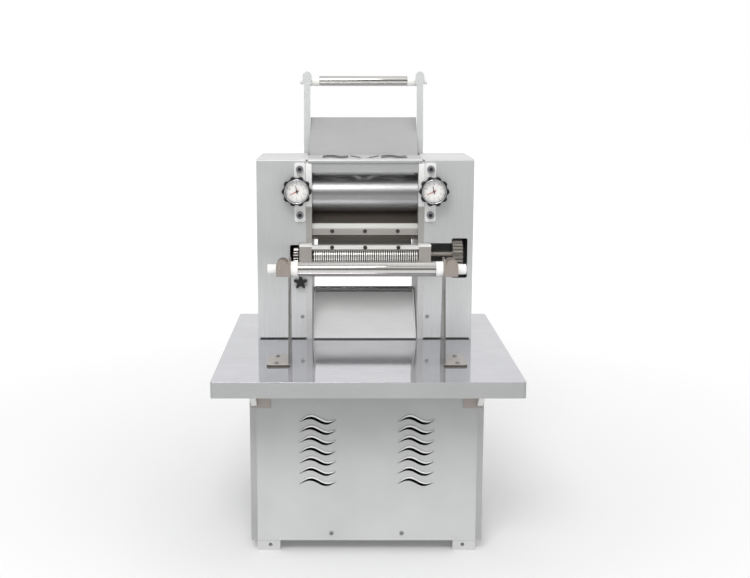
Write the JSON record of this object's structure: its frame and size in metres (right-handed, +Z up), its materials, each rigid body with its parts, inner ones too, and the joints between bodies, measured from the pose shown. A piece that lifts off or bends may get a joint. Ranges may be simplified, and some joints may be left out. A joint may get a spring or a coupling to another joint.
{
  "type": "noodle making machine",
  "caption": "Motor-driven floor noodle machine: steel cabinet and table, dough rollers with gap handwheels, ring cutter, noodle chute and lift-out dough pins.",
  "frame": {"origin": "on the floor under the centre of the table", "axes": "+Z up, -Y towards the operator at the front, +X to the operator's right"},
  "size_m": [0.612, 0.63, 0.9886],
  "materials": {
    "frame_paint": "satin",
    "panel_steel": "satin",
    "table_steel": "polished",
    "brace_steel": "satin",
    "shelf_steel": "satin",
    "motor_paint": "satin",
    "shaft_steel": "ground",
    "pulley_iron": "painted",
    "belt_rubber": "matte",
    "black_nylon": "matte",
    "switch_shell": "satin",
    "start_green": "gloss",
    "stop_red": "gloss",
    "side_frame_iron": "satin",
    "cover_steel": "satin",
    "guard_steel": "satin",
    "bearing_iron": "machined",
    "roller_chrome": "polished",
    "gear_steel": "machined",
    "knife_steel": "ground",
    "cutter_steel": "satin",
    "clamp_white": "satin",
    "scraper_steel": "satin",
    "guide_steel": "satin",
    "screw_steel": "satin",
    "bolt_steel": "black oxide",
    "chute_steel": "satin",
    "plate_white": "satin",
    "wheel_black": "gloss",
    "dial_white": "matte",
    "knob_black": "satin",
    "stand_steel": "polished",
    "pin_white": "satin",
    "pin_chrome": "polished",
    "board_steel": "satin"
  },
  "bodies": {
    "frame": {"base_frame": "frame_paint", "front_panel": "panel_steel", "side_panels": "panel_steel", "back_panel": "panel_steel", "table_top": "table_steel", "table_braces": "brace_steel", "motor_shelf": "shelf_steel", "motor_body": "motor_paint", "drive_belt": "belt_rubber", "cable_gland": "black_nylon", "switch_box": "switch_shell", "left_side_frame": "side_frame_iron", "right_side_frame": "side_frame_iron", "tie_rods": "shaft_steel", "left_cover": "cover_steel", "right_cover": "cover_steel", "top_guard": "guard_steel", "gear_axles": "shaft_steel", "cutter_blocks": "cutter_steel", "clamp_plates": "clamp_white", "cutter_bar": "cutter_steel", "cutter_combs": "cutter_steel", "scrapers": "scraper_steel", "guide_plate": "guide_steel", "small_screws": "screw_steel", "noodle_chute": "chute_steel", "adjuster_plates": "plate_white", "adjuster_bolts": "bolt_steel", "front_stand": "stand_steel", "rear_stand": "stand_steel", "feed_board": "board_steel"},
    "rear_roller_set": {"rear_roller": "roller_chrome", "rear_roller_gear": "gear_steel", "bull_gear": "gear_steel", "transfer_gear": "gear_steel"},
    "bearing_slide": {"bearing_blocks": "bearing_iron"},
    "front_roller_set": {"front_roller": "roller_chrome", "front_roller_gear": "gear_steel"},
    "compound_set": {"compound_gear": "gear_steel"},
    "countershaft_set": {"countershaft": "shaft_steel", "big_pulley": "pulley_iron"},
    "motor_set": {"motor_shaft": "shaft_steel", "motor_pulley": "pulley_iron"},
    "idler_set": {"idler_gear": "gear_steel"},
    "rear_knife_set": {"rear_knife": "knife_steel", "cutter_gear": "gear_steel"},
    "front_knife_set": {"front_knife": "knife_steel"},
    "left_wheel": {"left_handwheel": "wheel_black", "left_adjuster_screw": "shaft_steel"},
    "left_dial_plate": {"left_dial": "dial_white"},
    "right_wheel": {"right_handwheel": "wheel_black", "right_adjuster_screw": "shaft_steel"},
    "right_dial_plate": {"right_dial": "dial_white"},
    "cover_knob": {"star_knob": "knob_black"},
    "front_pin_ends": {"front_pin_bushes": "pin_white"},
    "front_tube": {"front_pin_tube": "pin_chrome"},
    "rear_pin_ends": {"rear_pin_bushes": "pin_white"},
    "rear_tube": {"rear_pin_tube": "pin_chrome"},
    "start": {"start_button": "start_green"},
    "stop": {"stop_button": "stop_red"}
  },
  "joints": [
    {"name": "rear_roller_spin", "type": "hinge", "parent": "frame", "child": "rear_roller_set", "pos_m": [0, 0.185, 0.717], "axis": [1, 0, 0], "continuous": true},
    {"name": "gap_slide", "type": "slide", "parent": "frame", "child": "bearing_slide", "axis": [0, -1, 0], "range_m": [-0.002, 0.003]},
    {"name": "front_roller_spin", "type": "hinge", "parent": "bearing_slide", "child": "front_roller_set", "pos_m": [0, 0.098, 0.717], "axis": [1, 0, 0], "continuous": true},
    {"name": "compound_spin", "type": "hinge", "parent": "frame", "child": "compound_set", "pos_m": [0, 0.18156, 0.63207], "axis": [1, 0, 0], "continuous": true},
    {"name": "countershaft_spin", "type": "hinge", "parent": "frame", "child": "countershaft_set", "pos_m": [0, 0.152, 0.57], "axis": [1, 0, 0], "continuous": true},
    {"name": "motor_spin", "type": "hinge", "parent": "frame", "child": "motor_set", "pos_m": [0, 0.152, 0.15], "axis": [1, 0, 0], "continuous": true},
    {"name": "idler_spin", "type": "hinge", "parent": "frame", "child": "idler_set", "pos_m": [0, 0.10239, 0.64743], "axis": [1, 0, 0], "continuous": true},
    {"name": "rear_knife_spin", "type": "hinge", "parent": "frame", "child": "rear_knife_set", "pos_m": [0, 0.064, 0.583], "axis": [1, 0, 0], "continuous": true},
    {"name": "front_knife_spin", "type": "hinge", "parent": "frame", "child": "front_knife_set", "pos_m": [0, 0.036, 0.583], "axis": [1, 0, 0], "continuous": true},
    {"name": "left_handwheel_turn", "type": "hinge", "parent": "frame", "child": "left_wheel", "pos_m": [-0.15, 0.013, 0.728], "axis": [0, -1, 0], "range_deg": [-361, 541]},
    {"name": "left_dial_swing", "type": "hinge", "parent": "left_wheel", "child": "left_dial_plate", "pos_m": [-0.15, 0.013, 0.728], "axis": [0, -1, 0], "range_deg": [-541, 361]},
    {"name": "right_handwheel_turn", "type": "hinge", "parent": "frame", "child": "right_wheel", "pos_m": [0.15, 0.013, 0.728], "axis": [0, -1, 0], "range_deg": [-361, 541]},
    {"name": "right_dial_swing", "type": "hinge", "parent": "right_wheel", "child": "right_dial_plate", "pos_m": [0.15, 0.013, 0.728], "axis": [0, -1, 0], "range_deg": [-541, 361]},
    {"name": "cover_knob_turn", "type": "hinge", "parent": "frame", "child": "cover_knob", "pos_m": [-0.1435, 0.046, 0.523], "axis": [0, -1, 0], "range_deg": [0, 720]},
    {"name": "front_pin_lift", "type": "slide", "parent": "frame", "child": "front_pin_ends", "axis": [0, 0, 1], "range_m": [0, 0.06]},
    {"name": "front_tube_spin", "type": "hinge", "parent": "front_pin_ends", "child": "front_tube", "pos_m": [0, -0.155, 0.586], "axis": [1, 0, 0], "continuous": true},
    {"name": "rear_pin_lift", "type": "slide", "parent": "frame", "child": "rear_pin_ends", "axis": [0, 0.1219, 0.9925], "range_m": [0, 0.05]},
    {"name": "rear_tube_spin", "type": "hinge", "parent": "rear_pin_ends", "child": "rear_tube", "pos_m": [0, 0.29359, 0.96666], "axis": [1, 0, 0], "continuous": true},
    {"name": "start_press", "type": "slide", "parent": "frame", "child": "start", "axis": [0, -1, 0], "range_m": [0, 0.004], "stiffness_N_per_m": 300},
    {"name": "stop_press", "type": "slide", "parent": "frame", "child": "stop", "axis": [0, -1, 0], "range_m": [0, 0.004], "stiffness_N_per_m": 300}
  ],
  "couplings": [
    {"joint": "front_roller_spin", "follows": "rear_roller_spin", "ratio": -1},
    {"joint": "compound_spin", "follows": "rear_roller_spin", "ratio": -3.25},
    {"joint": "countershaft_spin", "follows": "rear_roller_spin", "ratio": 8.6667},
    {"joint": "motor_spin", "follows": "rear_roller_spin", "ratio": 31.2},
    {"joint": "idler_spin", "follows": "rear_roller_spin", "ratio": -1.4},
    {"joint": "rear_knife_spin", "follows": "rear_roller_spin", "ratio": 2.1},
    {"joint": "front_knife_spin", "follows": "rear_roller_spin", "ratio": -2.1},
    {"joint": "left_handwheel_turn", "follows": "gap_slide", "rad_per_m": 3141.6},
    {"joint": "right_handwheel_turn", "follows": "gap_slide", "rad_per_m": 3141.6},
    {"joint": "left_dial_swing", "follows": "gap_slide", "rad_per_m": -3141.6},
    {"joint": "right_dial_swing", "follows": "gap_slide", "rad_per_m": -3141.6}
  ]
}
